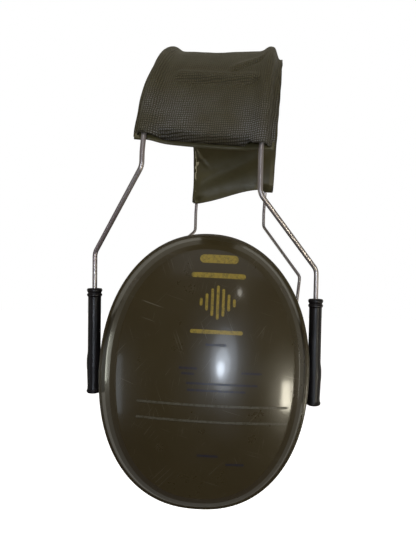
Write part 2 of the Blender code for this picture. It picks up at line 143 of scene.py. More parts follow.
class Finish:
    """A material under construction: a Principled shader and short ways to feed it."""

    def __init__(self, name, colour, roughness, metallic=0.0, **sockets):
        self.material = bpy.data.materials.new(name)
        self.material.use_nodes = True
        self.tree = self.material.node_tree
        self.shader = self.tree.nodes["Principled BSDF"]
        self.set("Base Color", (*colour, 1.0))
        self.set("Roughness", roughness)
        self.set("Metallic", metallic)
        for socket, value in sockets.items():
            self.set(socket.replace("_", " "), value)
        self.where = self.add("ShaderNodeTexCoord")

    def set(self, socket, value):
        self.shader.inputs[socket].default_value = value

    def add(self, kind, **settings):
        node = self.tree.nodes.new(kind)
        for name, value in settings.items():
            setattr(node, name, value)
        return node

    def link(self, output, socket):
        self.tree.links.new(output, socket)

    def mapped(self, scale, turn=(0.0, 0.0, 0.0), space="Object"):
        """Coordinates with their own scale and turn."""
        mapping = self.add("ShaderNodeMapping")
        mapping.inputs["Scale"].default_value = scale if hasattr(scale, "__len__") else (scale,) * 3
        mapping.inputs["Rotation"].default_value = turn
        self.link(self.where.outputs[space], mapping.inputs["Vector"])
        return mapping.outputs["Vector"]

    def noise(self, vector, detail=3.0, roughness=0.55):
        node = self.add("ShaderNodeTexNoise")
        node.inputs["Scale"].default_value = 1.0
        node.inputs["Detail"].default_value = detail
        node.inputs["Roughness"].default_value = roughness
        self.link(vector, node.inputs["Vector"])
        return node.outputs["Fac"]

    def wave(self, vector, direction, distortion=0.0, detail_scale=1.0):
        node = self.add("ShaderNodeTexWave", bands_direction=direction)
        node.inputs["Scale"].default_value = 1.0
        node.inputs["Distortion"].default_value = distortion
        node.inputs["Detail"].default_value = 1.0
        node.inputs["Detail Scale"].default_value = detail_scale
        self.link(vector, node.inputs["Vector"])
        return node.outputs["Fac"]

    def span(self, value, low, high, to_low=0.0, to_high=1.0):
        """Stretches a value from low..high to to_low..to_high, and clamps it there."""
        node = self.add("ShaderNodeMapRange")
        for socket, number in zip(("From Min", "From Max", "To Min", "To Max"), (low, high, to_low, to_high)):
            node.inputs[socket].default_value = number
        self.link(value, node.inputs["Value"])
        return node.outputs["Result"]

    def math(self, operation, first, second):
        node = self.add("ShaderNodeMath", operation=operation)
        for value, socket in zip((first, second), node.inputs):
            if isinstance(value, (int, float)):
                socket.default_value = value
            else:
                self.link(value, socket)
        return node.outputs["Value"]

    def mix(self, share, first, second):
        """A colour between two colours, each a tuple or an output."""
        node = self.add("ShaderNodeMix", data_type="RGBA")
        self.link(share, node.inputs["Factor"])
        for value, name in ((first, "A"), (second, "B")):
            socket = next(s for s in node.inputs if s.name == name and s.type == "RGBA")
            if isinstance(value, tuple):
                socket.default_value = (*value, 1.0)
            else:
                self.link(value, socket)
        return next(s for s in node.outputs if s.type == "RGBA")

    def colour(self, output):
        self.link(output, self.shader.inputs["Base Color"])

    def roughness(self, output):
        self.link(output, self.shader.inputs["Roughness"])

    def bump(self, height, distance, strength=1.0):
        """Adds a layer of bump on top of those already there."""
        node = self.add("ShaderNodeBump")
        node.inputs["Distance"].default_value = distance
        node.inputs["Strength"].default_value = strength
        self.link(height, node.inputs["Height"])
        socket = self.shader.inputs["Normal"]
        if socket.is_linked:
            self.link(socket.links[0].from_socket, node.inputs["Normal"])
        self.link(node.outputs["Normal"], socket)

    def scratches(self, density, turns):
        """Sparse hairlines on faces seen along Y, in several directions: 1 in a line and 0 beside it."""
        split = self.add("ShaderNodeSeparateXYZ")
        self.link(self.where.outputs["Object"], split.inputs["Vector"])
        flat = self.add("ShaderNodeCombineXYZ")
        self.link(split.outputs["X"], flat.inputs["X"])
        self.link(split.outputs["Z"], flat.inputs["Y"])
        found = None
        for step, turn in enumerate(turns):
            turned = self.add("ShaderNodeMapping")
            turned.inputs["Rotation"].default_value = (0.0, 0.0, turn)
            self.link(flat.outputs["Vector"], turned.inputs["Vector"])
            lines = self.add("ShaderNodeMapping")
            lines.inputs["Scale"].default_value = (30.0 + 7 * step, 2300.0 + 500 * step, 1.0)
            self.link(turned.outputs["Vector"], lines.inputs["Vector"])
            patches = self.add("ShaderNodeMapping")
            patches.inputs["Location"].default_value = (3.7 * step, 1.9 * step, 0.0)
            patches.inputs["Scale"].default_value = (70.0 + 9 * step,) * 3
            self.link(flat.outputs["Vector"], patches.inputs["Vector"])
            line = self.span(self.noise(lines.outputs["Vector"], detail=0.0), 0.735, 0.76)
            thick = self.noise(patches.outputs["Vector"], detail=1.0)
            patch = self.span(thick, 0.60 - density, 0.68 - density)
            both = self.math("MULTIPLY", line, patch)
            found = both if found is None else self.math("MAXIMUM", found, both)
        return found


def olive_shell_finish():
    """Glossy dark olive plastic with faint flow clouds and sparse hairline scratches."""
    made = Finish("olive_shell", (0.042, 0.032, 0.0135), 0.3, IOR=1.5)
    clouds = made.noise(made.mapped(22), detail=4.0)
    hairs = made.scratches(0.02, (0.3, 1.2, -0.8, 2.2, -1.4))
    base = made.mix(made.span(clouds, 0.35, 0.65), (0.040, 0.0300, 0.0120), (0.047, 0.0362, 0.0155))
    made.colour(made.mix(made.math("MULTIPLY", hairs, 0.4), base, (0.17, 0.155, 0.115)))
    haze = made.noise(made.mapped(60), detail=5.0, roughness=0.7)
    made.roughness(made.span(haze, 0.35, 0.75, 0.27, 0.36))
    made.set("Coat Weight", 0.6)
    made.set("Coat Roughness", 0.10)
    made.bump(made.noise(made.mapped(260), detail=2.0), 0.00002, 0.4)
    return made.material


def moulded_black(name, colour, roughness, grain=1500, relief=0.00004):
    """Satin black moulded plastic with a fine spark-eroded grain and slightly polished high spots."""
    made = Finish(name, colour, roughness)
    grains = made.noise(made.mapped(grain), detail=3.0)
    wear = made.noise(made.mapped(90), detail=4.0, roughness=0.65)
    made.colour(made.mix(made.span(wear, 0.45, 0.8), colour, tuple(3.0 * c for c in colour)))
    made.roughness(made.span(wear, 0.3, 0.75, roughness + 0.06, roughness - 0.10))
    made.bump(grains, relief, 0.7)
    return made.material


def steel_wire_finish():
    """Bright drawn stainless wire with faint handling stains."""
    made = Finish("steel_wire", (0.60, 0.56, 0.54), 0.4, 0.9)
    stains = made.noise(made.mapped(45), detail=2.0)
    made.colour(made.mix(made.span(stains, 0.35, 0.7), (0.78, 0.74, 0.71), (0.62, 0.54, 0.53)))
    made.roughness(made.span(made.noise(made.mapped(90), detail=2.0), 0.3, 0.7, 0.38, 0.46))
    return made.material


def embossed_vinyl_finish():
    """Olive vinyl with a cross-hatched linen emboss about a millimetre apart, its grooves painted dark as
    painted shade, shinier worn patches, and a pale painted sheen in patches low on the near half.
    """
    made = Finish("embossed_vinyl", (0.075, 0.070, 0.042), 0.42, IOR=1.5)
    along = made.wave(made.mapped((0.36, 0.36, 1), (0, 0, 0.05), space="UV"), "X", 2.6, 0.8)
    across = made.wave(made.mapped((0.33, 0.33, 1), (0, 0, -0.04), space="UV"), "Y", 2.8, 0.9)
    weave = made.math("MINIMUM", made.span(along, 0.05, 0.6), made.span(across, 0.05, 0.6))
    wear = made.noise(made.mapped(70), detail=4.0, roughness=0.6)
    split = made.add("ShaderNodeSeparateXYZ")
    made.link(made.where.outputs["UV"], split.inputs["Vector"])
    # Painted sheen: a pale grey painted into the colour in patches low on the near half, in place of light
    # that the vinyl catches there.
    sheen_low_down = made.span(split.outputs["Y"], -74.0, -94.0)
    painted_sheen = made.math("MULTIPLY", sheen_low_down, made.span(made.noise(made.mapped(45), detail=2.0), 0.35, 0.62))
    mottled_base = made.mix(made.span(wear, 0.3, 0.75), (0.086, 0.074, 0.037), (0.112, 0.098, 0.052))
    with_painted_sheen = made.mix(painted_sheen, mottled_base, (0.190, 0.186, 0.178))
    # Painted shade: the emboss grooves are painted dark, and the raised cells keep the vinyl's colour with
    # its painted sheen.
    made.colour(made.mix(weave, (0.038, 0.032, 0.016), with_painted_sheen))
    made.roughness(made.span(wear, 0.3, 0.7, 0.48, 0.36))
    made.bump(made.noise(made.mapped(900), detail=3.0), 0.00005, 0.5)
    made.bump(weave, 0.00025, 0.9)
    return made.material


def smooth_vinyl_finish(name, dark, light, roughness=0.42):
    """Smooth satin vinyl with a barely visible leather grain."""
    made = Finish(name, dark, roughness, IOR=1.5)
    wear = made.noise(made.mapped(60), detail=5.0, roughness=0.6)
    made.colour(made.mix(made.span(wear, 0.3, 0.75), dark, light))
    made.roughness(made.span(wear, 0.3, 0.7, roughness + 0.06, roughness - 0.06))
    made.bump(made.noise(made.mapped(1300), detail=4.0), 0.00004, 0.6)
    made.bump(made.noise(made.mapped(160), detail=3.0), 0.0002, 0.4)
    return made.material


def foam_finish(name, dark, light, cell=1800):
    """Open-cell foam: small pores all over, painted dark as painted shade in the pits."""
    made = Finish(name, dark, 0.95)
    cells = made.add("ShaderNodeTexVoronoi")
    cells.inputs["Scale"].default_value = 1.0
    made.link(made.mapped(cell), cells.inputs["Vector"])
    pores = made.span(cells.outputs["Distance"], 0.1, 0.6)
    # Painted shade: the pores are painted darker than the cell walls around them.
    made.colour(made.mix(pores, dark, light))
    made.bump(pores, 0.0004, 1.0)
    return made.material


def ink_finish(name, fresh, with_painted_sheen):
    """Pad-printed ink, thin and a little worn."""
    made = Finish(name, fresh, 0.35)
    wear = made.noise(made.mapped(900), detail=4.0, roughness=0.7)
    made.colour(made.mix(made.span(wear, 0.45, 0.68), fresh, with_painted_sheen))
    made.bump(wear, 0.00002, 0.4)
    return made.material


# ---------------------------------------------------------------- mesh building

def tidy_up(bm):
    bmesh.ops.remove_doubles(bm, verts=bm.verts, dist=0.002 * MM)
    bmesh.ops.recalc_face_normals(bm, faces=bm.faces)


def make_object(name, bm, material, sharp=40):
    mesh = bpy.data.meshes.new(name)
    bm.to_mesh(mesh)
    bm.free()
    mesh.shade_smooth()
    mesh.set_sharp_from_angle(angle=math.radians(sharp))
    mesh.materials.append(material)
    made = bpy.data.objects.new(name, mesh)
    bpy.context.scene.collection.objects.link(made)
    return made


def settle(piece):
    """Turns a piece's modifiers, or its curve, into its final mesh."""
    bpy.context.view_layer.update()
    done = bpy.data.meshes.new_from_object(piece.evaluated_get(bpy.context.evaluated_depsgraph_get()))
    if piece.type == "MESH":
        piece.modifiers.clear()
        piece.data = done
        return piece
    name = piece.name
    bpy.data.objects.remove(piece)
    made = bpy.data.objects.new(name, done)
    bpy.context.scene.collection.objects.link(made)
    done.shade_smooth()
    return made


def arc_through(points, radii, steps=6):
    """A path whose inner corners are turned into arcs; works in two or three dimensions."""
    points = [Vector(point) for point in points]
    path = [points[0]]
    for before, corner, after, radius in zip(points, points[1:], points[2:], radii):
        back = (before - corner).normalized()
        onward = (after - corner).normalized()
        half = back.angle(onward) / 2
        if radius <= 0 or half > math.radians(89):
            path.append(corner)
            continue
        reach = min(radius / math.tan(half), 0.48 * min((before - corner).length, (after - corner).length))
        for step in range(steps + 1):
            t = step / steps
            start, end = corner + back * reach, corner + onward * reach
            path.append(start * (1 - t) ** 2 + corner * 2 * t * (1 - t) + end * t**2)
    path.append(points[-1])
    return path


def lathe(profile, segments=56):
    """A body turned about z from a closed profile of (radius, height) points."""
    bm = bmesh.new()
    verts = [bm.verts.new((radius, 0.0, height)) for radius, height in profile]
    edges = [bm.edges.new(pair) for pair in zip(verts, verts[1:] + verts[:1])]
    bmesh.ops.spin(
        bm, geom=verts + edges, cent=(0, 0, 0), axis=(0, 0, 1), angle=math.tau, steps=segments, use_merge=True
    )
    tidy_up(bm)
    return bm


def swing(side):
    """Turns a side's legs, with the tubes and the cup on them, about the height of the lower bends."""
    at_bends = Matrix.Translation((0.0, 0.0, LOWER_BEND_Z))
    return at_bends @ Matrix.Rotation(LEG_SWING[side], 4, "Y") @ at_bends.inverted()


def below_bends(side):
    """From a side's unswung place to its real one: down its leaning legs, then swung with them."""
    drop = TUBE_DROP[side]
    return swing(side) @ Matrix.Translation((0.0, -SIDES[side] * drop * math.tan(LEG_LEAN), -drop))


def cup_roll(side):
    return Matrix.Rotation(math.atan(TUBE_CREEP[side] / WIRE_LOWER_X), 4, "Y")


def cup_to_world(side):
    """From the cup's own frame, z out from the rim plane and y up, to the side's place."""
    out = SIDES[side]
    turn = Matrix(((1, 0, 0), (0, 0, out), (0, 1, 0))).to_4x4()
    seat = Matrix.Translation((CUP_SHIFT_X[side], out * CUP_RIM_Y, CUP_CENTRE_Z))
    return below_bends(side) @ seat @ cup_roll(side) @ turn


def oval_loft(stations, segments=176):
    """An oval loop drawn through stations of (half width, half height, depth), closed at its end.

    A loft that comes back to its first station is a ring; one that shrinks to nothing is a dome."""
    bm = bmesh.new()
    width, height, depth = stations[0]
    made = bmesh.ops.create_circle(bm, segments=segments, radius=1.0)
    for vert in made["verts"]:
        fullness = CUP_FULLNESS_ABOVE if vert.co.y > 0 else CUP_FULLNESS_BELOW
        vert.co *= (abs(vert.co.x) ** fullness + abs(vert.co.y) ** fullness) ** (-1 / fullness)
    size = Matrix.Translation((0, 0, depth)) @ Matrix.Diagonal((width, height, 1.0, 1.0))
    bmesh.ops.transform(bm, matrix=size, verts=made["verts"])
    loop = list({edge for vert in made["verts"] for edge in vert.link_edges})
    for next_width, next_height, next_depth in stations[1:]:
        grown = bmesh.ops.extrude_edge_only(bm, edges=loop)["geom"]
        loop = [item for item in grown if isinstance(item, bmesh.types.BMEdge)]
        verts = [item for item in grown if isinstance(item, bmesh.types.BMVert)]
        bmesh.ops.scale(bm, vec=(next_width / width, next_height / height, 1.0), verts=verts)
        bmesh.ops.translate(bm, vec=(0, 0, next_depth - depth), verts=verts)
        width, height, depth = next_width, next_height, next_depth
    tidy_up(bm)
    return bm


def insets(outline, radii=None, steps=5):
    """Stations from (inset, depth) points in millimetres, with rounded corners where radii are given."""
    points = [(inset, depth) for inset, depth in outline]
    if radii is not None:
        points = [(p.x, p.y) for p in arc_through([(*p, 0.0) for p in points], radii, steps)]
    return [(CUP_HALF_WIDTH - i * MM, CUP_HALF_HEIGHT - i * MM, d * MM) for i, d in points]


def closed_ring(outline, radius, steps=5):
    """Stations of a ring whose closed outline has all its corners rounded."""
    loop = outline[-1:] + outline + outline[:1]
    path = arc_through([(*p, 0.0) for p in loop], [radius] * len(outline), steps)[1:-1]
    path.append(path[0])
    return insets([(p.x, p.y) for p in path])


def face_stations(edge_inset, edge_depth, crown_depth, rings=14):
    """The gently domed face inside an oval edge, as an elliptical paraboloid down to its middle."""
    stations = []
    for step in range(1, rings + 1):
        share = max(1.0 - step / rings, 1e-4)
        width = (CUP_HALF_WIDTH - edge_inset * MM) * share
        height = (CUP_HALF_HEIGHT - edge_inset * MM) * share
        stations.append((width, height, (edge_depth + (crown_depth - edge_depth) * (1 - share**2)) * MM))
    return stations


def face_depth(x, y):
    """The depth of the outer face at a point of the cup's own frame."""
    fullness = CUP_FULLNESS_ABOVE if y > 0 else CUP_FULLNESS_BELOW
    across = (abs(x) / (CUP_HALF_WIDTH - FACE_INSET)) ** fullness
    along = (abs(y) / (CUP_HALF_HEIGHT - FACE_INSET)) ** fullness
    return CUP_DEPTH - (CUP_DEPTH - FACE_EDGE_DEPTH) * (across + along) ** (2 / fullness)


def skew(bm):
    """The outer face sits a little to the rear of the rim and above its middle."""
    for vert in bm.verts:
        beyond = max(0.0, vert.co.z - RIM_BEAD)
        vert.co.x += FACE_SKEW[0] * beyond
        vert.co.y += FACE_SKEW[1] * beyond
    return bm


# ---------------------------------------------------------------- camera, light and floor

def add_camera():
    """A close view from in front of the left cup, slightly above its middle and rolled a little."""
    yaw, pitch, roll = (math.radians(angle) for angle in CAMERA_TURN)
    ahead = Vector((-math.sin(yaw) * math.cos(pitch), math.cos(yaw) * math.cos(pitch), math.sin(pitch)))
    level = Vector((math.cos(yaw), math.sin(yaw), 0.0))
    above = level.cross(ahead)
    right = level * math.cos(roll) + above * math.sin(roll)
    up = above * math.cos(roll) - level * math.sin(roll)
    data = bpy.data.cameras.new("camera")
    data.sensor_width = 36.0
    data.lens = CAMERA_LENS
    data.shift_x = CAMERA_SHIFT
    data.clip_start = 0.01
    camera = bpy.data.objects.new("camera", data)
    turn = Matrix((right, up, -ahead)).transposed().to_4x4()
    camera.matrix_world = Matrix.Translation(Vector(CAMERA_PLACE) * MM) @ turn
    bpy.context.scene.collection.objects.link(camera)
    bpy.context.scene.camera = camera


def add_light(name, place, aim, size, power, colour, shape="RECTANGLE"):
    data = bpy.data.lights.new(name, "AREA")
    data.shape = shape
    data.size, data.size_y = size
    data.energy = power
    data.color = colour
    lamp = bpy.data.objects.new(name, data)
    lamp.location = place
    lamp.rotation_euler = (Vector(aim) - Vector(place)).to_track_quat("-Z", "Y").to_euler()
    bpy.context.scene.collection.objects.link(lamp)
    return lamp


def add_world():
    """White behind the object, and a dimmer room, brown at the horizon, for light and reflections."""
    world = bpy.data.worlds.new("studio")
    bpy.context.scene.world = world
    world.use_nodes = True
    tree = world.node_tree
    tree.nodes.clear()
    where = tree.nodes.new("ShaderNodeTexCoord")
    ramp = tree.nodes.new("ShaderNodeValToRGB")
    stops = (
        (0.0, (0.030, 0.018, 0.015)),
        (0.35, (0.055, 0.040, 0.037)),
        (0.60, (0.12, 0.113, 0.100)),
        (1.0, (0.30, 0.29, 0.25)),
    )
    while len(ramp.color_ramp.elements) < len(stops):
        ramp.color_ramp.elements.new(0.5)
    for element, (place, colour) in zip(ramp.color_ramp.elements, stops):
        element.position = place
        element.color = (*colour, 1.0)
    tilt = tree.nodes.new("ShaderNodeVectorMath")
    tilt.operation = "DOT_PRODUCT"
    tilt.inputs[1].default_value = (0.0, 0.88, 0.34)
    tree.links.new(where.outputs["Generated"], tilt.inputs[0])
    height = tree.nodes.new("ShaderNodeMapRange")
    height.inputs["From Min"].default_value = -0.95
    height.inputs["From Max"].default_value = 0.95
    tree.links.new(tilt.outputs["Value"], height.inputs["Value"])
    tree.links.new(height.outputs["Result"], ramp.inputs["Fac"])
    room = tree.nodes.new("ShaderNodeBackground")
    tree.links.new(ramp.outputs["Color"], room.inputs["Color"])
    white = tree.nodes.new("ShaderNodeBackground")
    white.inputs["Color"].default_value = (1.0, 1.0, 1.0, 1.0)
    path = tree.nodes.new("ShaderNodeLightPath")
    mix = tree.nodes.new("ShaderNodeMixShader")
    out = tree.nodes.new("ShaderNodeOutputWorld")
    tree.links.new(path.outputs["Is Camera Ray"], mix.inputs["Fac"])
    tree.links.new(room.outputs["Background"], mix.inputs[1])
    tree.links.new(white.outputs["Background"], mix.inputs[2])
    tree.links.new(mix.outputs["Shader"], out.inputs["Surface"])


def add_lamps():
    """Small lamps that mirror in the glossy cup, then wide soft ones that only light it."""
    cup = (0.0, -0.06, -0.15)
    pane, far_pane = (0.036, -0.066, -0.152), (-0.03, -0.066, -0.155)
    warm, sky = (1.0, 0.94, 0.76), (0.84, 0.91, 1.0)
    for step, (size, power) in enumerate((((0.05, 0.06), 0.22), ((0.11, 0.14), 0.34), ((0.20, 0.30), 0.42))):
        place = (0.030 + 0.012 * step, -0.666 - 0.03 * step, -0.228 + 0.016 * step)
        add_light(f"front_glow_{step}", place, cup, size, power, (0.78, 0.87, 1.0), "ELLIPSE")
    for name, place, aim, size, power, colour in (
        ("spot_lamp", (0.132, -0.616, 0.098), cup, (0.016, 0.022), 0.03, (1.0, 0.97, 0.88)),
        ("window", (0.438, -0.487, -0.324), pane, (0.058, 0.10), 0.50, warm),
        ("window_side", (0.476, -0.444, -0.324), pane, (0.022, 0.11), 0.22, warm),
        ("left_window", (-0.53, -0.36, -0.28), far_pane, (0.10, 0.18), 0.10, (0.80, 0.90, 1.0)),
        ("right_strip", (0.60, 0.12, -0.25), cup, (0.04, 0.18), 0.18, (1.0, 0.96, 0.84)),
        ("left_strip", (-0.60, 0.25, -0.20), cup, (0.04, 0.16), 0.12, (0.97, 1.0, 0.88)),
        ("front_sky", (0.0, -0.95, 0.75), (0.0, -0.05, -0.06), (1.3, 0.7), 0.9, sky),
    ):
        add_light(name, place, aim, size, power, colour)
    for name, place, size, power in (
        ("soft_key", (-0.35, -0.85, 0.95), (1.2, 0.9), 10.0),
        ("soft_fill", (0.9, -0.5, 0.3), (0.8, 0.8), 1.6),
        ("soft_back", (0.25, 0.85, 0.55), (0.8, 0.5), 4.0),
    ):
        add_light(name, place, cup, size, power, (1.0, 0.98, 0.94)).visible_glossy = False


def add_floor():
    """A pale sheet well below the object, unseen by reflections so that it doesn't grey them."""
    bm = bmesh.new()
    bmesh.ops.create_grid(bm, x_segments=1, y_segments=1, size=8.0)
    paper = Finish("floor_paper", (0.9, 0.9, 0.9), 0.9)
    paper.bump(paper.noise(paper.mapped(40), detail=3.0), 0.0002, 0.2)
    paper.set("Emission Color", (1.0, 1.0, 1.0, 1.0))
    paper.set("Emission Strength", 1.0)
    floor = make_object("floor", bm, paper.material)
    floor.location.z = CAD_BOX[0][2] - FLOOR_DROP
    floor.visible_glossy = False
    floor.visible_diffuse = False


# ---------------------------------------------------------------- headband wires

def leg_point(side, wire, z):
    y = LOWER_BEND_Y + (z - LOWER_BEND_Z) * math.tan(LEG_LEAN)
    return swing(side) @ Vector((WIRES[wire] * WIRE_LOWER_X, SIDES[side] * y, z))


def arch_point(x, radius, angle):
    """A point of the arch: the angle is from the crown, and the crown leans to the rear."""
    across = x + CROWN_SWAY * math.cos(angle)
    return ARCH_CENTRE + Vector((across, radius * math.sin(angle), radius * math.cos(angle)))


def half_wire(side, wire):
    """One leg's path, from the foot inside its tube up to the crown."""
    x = WIRES[wire] * WIRE_UPPER_X
    upper = Vector((x, SIDES[side] * ARCH_RADIUS, UPPER_BEND_Z - WIRES[wire] * UPPER_CREEP[side]))
    lower = leg_point(side, wire, LOWER_BEND_Z - WIRES[wire] * LOWER_CREEP[side])
    spring = Vector((x, SIDES[side] * ARCH_RADIUS, ARCH_CENTRE.z))
    corners = [leg_point(side, wire, WIRE_FOOT_Z + 0.5 * MM), lower, upper, spring]
    path = arc_through(corners, [BEND_RADIUS, BEND_RADIUS], steps=10)
    for step in range(1, 41):
        angle = math.pi / 2 * (1 - step / 40)
        path.append(arch_point(x, ARCH_RADIUS, SIDES[side] * angle))
    return path


def add_wire(wire, steel):
    """One continuous wire, foot to foot, bent over the crown."""
    path = half_wire("left", wire) + half_wire("right", wire)[-2::-1]
    dense = [path[0]]
    for point in path[1:]:
        gap = (point - dense[-1]).length
        for step in range(1, int(gap / (4 * MM)) + 1):
            dense.append(dense[-1] + (point - dense[-1]) * (4 * MM / (point - dense[-1]).length))
        dense.append(point)
    curve = bpy.data.curves.new("wire", "CURVE")
    curve.dimensions = "3D"
    curve.bevel_depth = WIRE_RADIUS
    curve.bevel_resolution = 8
    curve.use_fill_caps = True
    spline = curve.splines.new("POLY")
    spline.points.add(len(dense) - 1)
    for spot, point in zip(spline.points, dense):
        spot.co = (*point, 1.0)
    curve.materials.append(steel)
    piece = bpy.data.objects.new(f"{wire}_band_wire", curve)
    bpy.context.scene.collection.objects.link(piece)
    piece = settle(piece)
    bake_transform(piece)
    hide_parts(f"left_{wire}_wire", f"right_{wire}_wire")


# ---------------------------------------------------------------- padded cover

def bell(value, centre, width):
    return math.exp(-(((value - centre) / width) ** 2))


def ease(value, low, high):
    t = min(max((value - low) / (high - low), 0.0), 1.0)
    return t * t * (3 - 2 * t)


def end_angle(x, near):
    """Where the cover ends, in degrees from the crown: its hem hangs a little askew on both sides."""
    t = 0.5 + x / (2 * COVER_HALF_WIDTH)
    if near:
        return 84.2 + 3.9 * t + 0.5 * math.sin(math.pi * t)
    return 85.0 - 8.6 * ease(t, 0.08, 0.85) + 1.6 * ease(t, 0.80, 0.95)


def torn_corner(x):
    """Small notches worn into the skin's hem beside its two tunnels, in degrees."""
    return 1.3 * bell(x, -26.6, 0.8) + 1.0 * bell(x, 18.2, 1.0) + 1.1 * bell(x, 27.6, 0.7)


def tuck(x, degrees):
    """On the far half the front flange is folded under, so the cover is narrower there."""
    return x + 3.4 * ease(degrees, 30, 52) * ease(-x, 19, COVER_HALF_WIDTH)


def skin_height(x, degrees):
    """The height of the skin's outer surface over the lining's base, in millimetres; x is too."""
    side = abs(x)
    near = ease(-degrees, 50, 88)
    rise = ease(-side, -27.3, -25.0)
    ridge = 2.15 * math.exp(-(abs((side - RIDGE_AT) / (3.0 + 0.9 * near)) ** 2.4))
    plateau = 5.15 - 0.5 * bell(x, 0, 11)
    return 1.75 + (plateau - 1.75 + ridge) * rise


def skin_folds(x, degrees):
    """The cross welt, the slack folds and the handling creases of the outer skin, in millimetres."""
    across = ease(x, -16.8, -12.5) * ease(-x, -20.3, -17.2)
    line = WELT_AT - 0.05 * x
    welt = 1.25 * math.exp(-(abs((degrees - line - 1.2) / 2.1) ** 2.2)) * across
    groove = -0.85 * bell(degrees, line - 1.9, 0.9) * across
    pits = -0.4 * bell(degrees, line - 3.4, 0.8) * across * (0.5 + 0.5 * math.sin(x * 2.4))
    dimple = -1.5 * bell(x, 18.6, 1.3) * bell(degrees, -60.2, 1.2)
    lift = 0.35 * bell(degrees, line + 7, 6.0) * across
    t = (x - 7.6) / 13.0
    crease_at = -55.0 + 10.5 * t
    on = ease(t, -0.25, 0.25) * ease(-t, -1.25, -0.8)
    crease = (0.6 * bell(degrees, crease_at + 1.8, 2.2) - 0.8 * bell(degrees, crease_at - 0.8, 1.7)) * on
    slope = (degrees + 71.5) + 0.6 * (x - 7)
    hollow = -1.0 * bell(slope, 0, 5.5) * bell(x, 5, 16)
    bulge = 0.55 * bell(x, 13, 7) * bell(degrees, -78.5, 5) + 0.5 * bell(x, -12, 8) * bell(degrees, -79.5, 5)
    return welt + groove + pits + dimple + lift + crease + hollow + bulge


def ripple(x, degrees, seed):
    """Soft irregular undulation, in millimetres."""
    wide = noise.noise(Vector((x * 0.055, degrees * 0.05, seed)))
    fine = noise.noise(Vector((x * 0.19, degrees * 0.13, seed + 7.3)))
    return 0.34 * wide + 0.12 * fine


def to_hem(x, degrees):
    """How far a point is from the cover's end, in millimetres along the arch."""
    return (end_angle(x, degrees < 0) - abs(degrees)) * math.radians(ARCH_RADIUS / MM)


def skin_place(x, degrees):
    """(width, height) of a point of the outer skin; all its shaping is here."""
    height = skin_height(x, degrees) + skin_folds(x, degrees)
    height += ripple(x, degrees, 3.0) * ease(-abs(x), -27.0, -22.0)
    hem = to_hem(x, degrees)
    between = ease(-abs(x), -20.0, -16.5)
    height -= (height - 1.5) * between * ease(-hem, -4.6, -0.4)
    flare = 0.35 * bell(abs(x), RIDGE_AT, 3.4) * ease(-hem, -6.0, 0.0)
    wobble = 0.5 * noise.noise(Vector((degrees * 0.11, 2.7, 0.4))) * ease(abs(x), 24, 28)
    return tuck(x, degrees) + wobble, height + flare


def lining_place(x, degrees):
    """(width, height) of a point of the lining's inner face: smooth, with diagonal slack folds."""
    height = -0.35 * (1 - (x / COVER_HALF_WIDTH) ** 2)
    if degrees > 0:
        fold_at = 64.0 - 0.42 * x
        height -= 1.5 * math.exp(-(abs((degrees - fold_at) / 5.2) ** 2)) * ease(-abs(x), -27, -20)
        height -= 0.7 * bell(degrees, 82.0 - 0.25 * x, 3.6) * ease(-abs(x), -27, -18)
        pucker = bell(degrees, 56.5 + 0.9 * (x + 22), 1.3) - 0.8 * bell(degrees, 60.0 - 0.5 * (x + 22), 1.5)
        height -= 1.4 * pucker * bell(x, -21.5, 4.5)
        height += 1.6 * bell(x, 20.5, 2.2) * bell(degrees, 77.0, 2.2)
    height += 0.8 * ripple(x, degrees, 11.0)
    height += 0.9 * ease(abs(x), 25.2, COVER_HALF_WIDTH)
    mouth = 2.6 * bell(abs(x), 22.6, 4.6) * ease(-to_hem(x, degrees), -6.0, -0.5)
    return tuck(x, degrees), height + mouth


def foam_place(x, degrees):
    """(width, height) of a point of the foam: it shows only where the far half's front edge gapes."""
    gape = ease(degrees, 46, 56) * ease(-x, 20, 24)
    gape *= 0.55 + 0.9 * noise.noise(Vector((degrees * 0.35, 5.1, 1.3)))
    under_skin = skin_place(x, degrees)[1] - 2.6
    height = min(under_skin, 3.2) * ease(-abs(x), -24.2, -19.0) + 1.1 * ease(abs(x), 19.0, 24.2)
    return tuck(x, degrees) - 2.2 * gape, height


def arched_sheet(name, place, finish, half_width, trim, thickness, outwards, columns=96, rows=190):
    """A sheet over the arch, with place giving each point's shape, and its own map in millimetres."""
    bm = bmesh.new()
    start = [
        bm.verts.new((half_width * (2 * step / columns - 1), -ARCH_RADIUS, ARCH_CENTRE.z))
        for step in range(columns + 1)
    ]
    edges = [bm.edges.new(pair) for pair in zip(start, start[1:])]
    over = {"cent": ARCH_CENTRE, "axis": (1, 0, 0), "angle": -math.pi, "steps": rows}
    bmesh.ops.spin(bm, geom=start + edges, use_duplicate=False, **over)
    spots = {}
    for vert in bm.verts:
        x = vert.co.x
        degrees = math.degrees(math.atan2(vert.co.y, vert.co.z - ARCH_CENTRE.z))
        degrees *= (end_angle(x, degrees < 0) - trim(x, degrees)) / 90
        spots[vert] = (x, math.radians(degrees) * ARCH_RADIUS / MM)
        wide, height = place(x, degrees)
        vert.co = arch_point(wide * MM, -ARCH_CENTRE.z + height * MM, math.radians(degrees))
    bm.normal_update()
    sample = max(bm.faces, key=lambda face: face.calc_center_median().z)
    if (sample.normal.z > 0) != outwards:
        bmesh.ops.reverse_faces(bm, faces=bm.faces)
    chart = bm.loops.layers.uv.new("UVMap")
    for face in bm.faces:
        for loop in face.loops:
            loop[chart].uv = spots[loop.vert]
    piece = make_object(name, bm, finish, sharp=60)
    wall = piece.modifiers.new("wall", "SOLIDIFY")
    wall.thickness = thickness
    wall.offset = -1.0
    return settle(piece)


def skin_trim(x, degrees):
    return 0.9 + torn_corner(x) if degrees < 0 else 0.6


